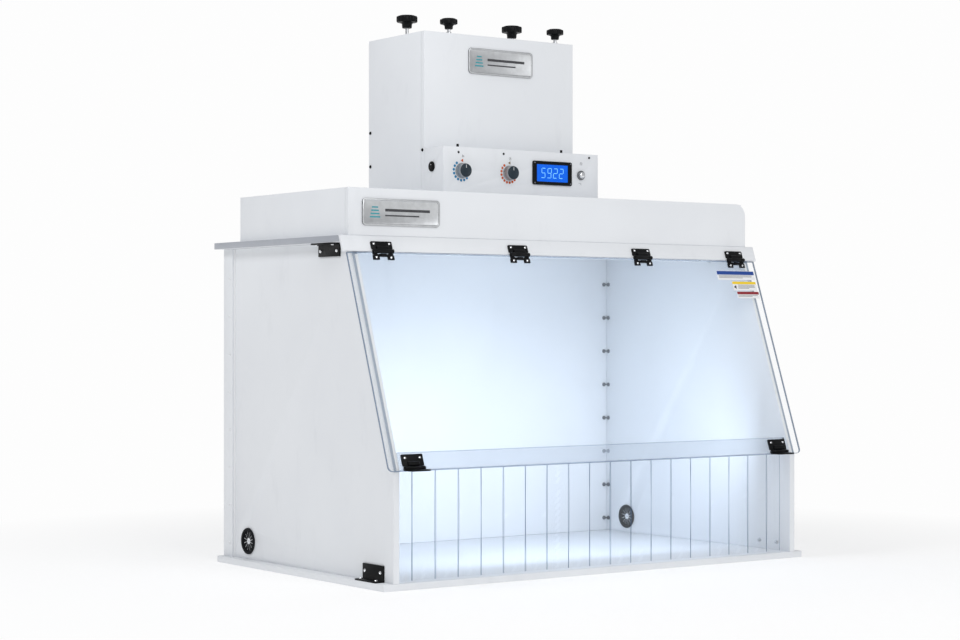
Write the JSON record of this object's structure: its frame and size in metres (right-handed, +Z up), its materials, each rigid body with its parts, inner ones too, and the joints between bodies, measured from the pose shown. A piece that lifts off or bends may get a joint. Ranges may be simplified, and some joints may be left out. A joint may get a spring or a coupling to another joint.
{
  "type": "benchtop fume hood",
  "caption": "Benchtop ductless fume hood: white plastic cabinet with a sloping clear lift-up sash, a slit curtain, a filter plenum and a fan tower with a control panel.",
  "frame": {"origin": "centre of the base slab's underside", "axes": "+Z up, the work opening and controls face -Y, +X to the right seen from the front"},
  "size_m": [1.016, 0.6556, 1.115],
  "materials": {
    "white_pp": "satin white polypropylene sheet",
    "clear_sheet": "clear polished plastic sheet",
    "clear_strip": "clear flexible vinyl strip",
    "black_plastic": "black moulded, fine grain",
    "black_metal": "black satin coating",
    "black_rubber": "matt",
    "white_foam": "closed-cell foam strip",
    "dial": "satin blue-grey cap on a silver skirt",
    "screen": "backlit blue",
    "bright_metal": "polished",
    "plate_metal": "brushed, blank",
    "steel_parts": "plated",
    "filter_media": "pleated fibre media in a card frame",
    "lamp": "frosted diffuser"
  },
  "bodies": {
    "cabinet": {"back_panel": "white_pp", "base_slab": "white_pp", "bracket_bottom_left": "black_metal", "bracket_bottom_right": "black_metal", "bracket_top_left": "black_metal", "bracket_top_right": "black_metal", "button_collar": "bright_metal", "control_box": "white_pp", "corner_angle_left": "white_pp", "corner_angle_right": "white_pp", "curtain_rail": "clear_sheet", "display_bezel": "black_plastic", "display_screen": "screen", "fan_housing": "black_plastic", "filter": "filter_media", "foam_seal_left": "white_foam", "foam_seal_right": "white_foam", "grommet_left": "black_rubber", "grommet_right": "black_rubber", "header_strip": "white_pp", "hinge_upper_1": "black_metal", "hinge_upper_2": "black_metal", "hinge_upper_3": "black_metal", "hinge_upper_4": "black_metal", "lid": "white_pp", "light_bar": "lamp", "nameplate_plenum": "plate_metal", "nameplate_tower": "plate_metal", "plenum_front": "white_pp", "plenum_shell": "white_pp", "plenum_top": "white_pp", "rocker_frame": "black_plastic", "side_panel_left": "white_pp", "side_panel_right": "white_pp", "stud_frame": "steel_parts", "top_slab": "white_pp", "tower_front": "white_pp", "tower_shell": "white_pp"},
    "sash_unit": {"sash": "clear_sheet", "hinge_lower_1": "black_metal", "hinge_lower_2": "black_metal", "hinge_lower_3": "black_metal", "hinge_lower_4": "black_metal", "tab_leaf_left": "black_metal", "tab_leaf_right": "black_metal"},
    "lift_tab_left_body": {"lift_tab_left": "black_metal"},
    "lift_tab_right_body": {"lift_tab_right": "black_metal"},
    "curtain_left": {"curtain_1": "clear_strip"},
    "curtain_middle": {"curtain_2": "clear_strip"},
    "curtain_right": {"curtain_3": "clear_strip"},
    "rotor": {"fan_rotor": "black_plastic"},
    "fan_dial_body": {"fan_dial": "dial"},
    "light_dial_body": {"light_dial": "dial"},
    "button": {"push_button": "bright_metal"},
    "rocker_switch": {"rocker": "black_plastic"},
    "clamp_1": {"clamp_knob_1": "black_plastic"},
    "clamp_2": {"clamp_knob_2": "black_plastic"},
    "clamp_3": {"clamp_knob_3": "black_plastic"},
    "clamp_4": {"clamp_knob_4": "black_plastic"}
  },
  "joints": [
    {"name": "sash_lift", "type": "hinge", "parent": "cabinet", "child": "sash_unit", "pos_m": [0, -0.17368, 0.60802], "axis": [-1, 0, 0], "range_deg": [0, 100]},
    {"name": "lift_tab_left_fold", "type": "hinge", "parent": "sash_unit", "child": "lift_tab_left_body", "pos_m": [-0.448, -0.31359, 0.21726], "axis": [-1, 0, 0], "range_deg": [-65, 15]},
    {"name": "lift_tab_right_fold", "type": "hinge", "parent": "sash_unit", "child": "lift_tab_right_body", "pos_m": [0.438, -0.31359, 0.21726], "axis": [-1, 0, 0], "range_deg": [-65, 15]},
    {"name": "curtain_left_swing", "type": "hinge", "parent": "cabinet", "child": "curtain_left", "pos_m": [0, -0.285, 0.212], "axis": [-1, 0, 0], "range_deg": [-35, 35]},
    {"name": "curtain_middle_swing", "type": "hinge", "parent": "cabinet", "child": "curtain_middle", "pos_m": [0, -0.285, 0.212], "axis": [-1, 0, 0], "range_deg": [-35, 35]},
    {"name": "curtain_right_swing", "type": "hinge", "parent": "cabinet", "child": "curtain_right", "pos_m": [0, -0.285, 0.212], "axis": [-1, 0, 0], "range_deg": [-35, 35]},
    {"name": "fan_spin", "type": "hinge", "parent": "cabinet", "child": "rotor", "pos_m": [0, 0.14406, 0.758], "axis": [0, 0, 1], "continuous": true},
    {"name": "fan_dial_turn", "type": "hinge", "parent": "cabinet", "child": "fan_dial_body", "pos_m": [-0.1435, -0.02494, 0.777], "axis": [0, 1, 0], "range_deg": [0, 280]},
    {"name": "light_dial_turn", "type": "hinge", "parent": "cabinet", "child": "light_dial_body", "pos_m": [-0.0275, -0.02494, 0.777], "axis": [0, 1, 0], "range_deg": [0, 280]},
    {"name": "button_press", "type": "slide", "parent": "cabinet", "child": "button", "axis": [0, 1, 0], "range_m": [0, 0.003], "stiffness_N_per_m": 600, "springref_m": -0.0015},
    {"name": "rocker_tilt", "type": "hinge", "parent": "cabinet", "child": "rocker_switch", "pos_m": [-0.1874, 0.01506, 0.786], "axis": [0, 1, 0], "range_deg": [-9, 9]},
    {"name": "clamp_1_turn", "type": "hinge", "parent": "cabinet", "child": "clamp_1", "pos_m": [-0.11, 0.06806, 1.058], "axis": [0, 0, 1], "continuous": true},
    {"name": "clamp_2_turn", "type": "hinge", "parent": "cabinet", "child": "clamp_2", "pos_m": [0.16, 0.06806, 1.058], "axis": [0, 0, 1], "continuous": true},
    {"name": "clamp_3_turn", "type": "hinge", "parent": "cabinet", "child": "clamp_3", "pos_m": [-0.11, 0.22006, 1.058], "axis": [0, 0, 1], "continuous": true},
    {"name": "clamp_4_turn", "type": "hinge", "parent": "cabinet", "child": "clamp_4", "pos_m": [0.16, 0.22006, 1.058], "axis": [0, 0, 1], "continuous": true}
  ]
}
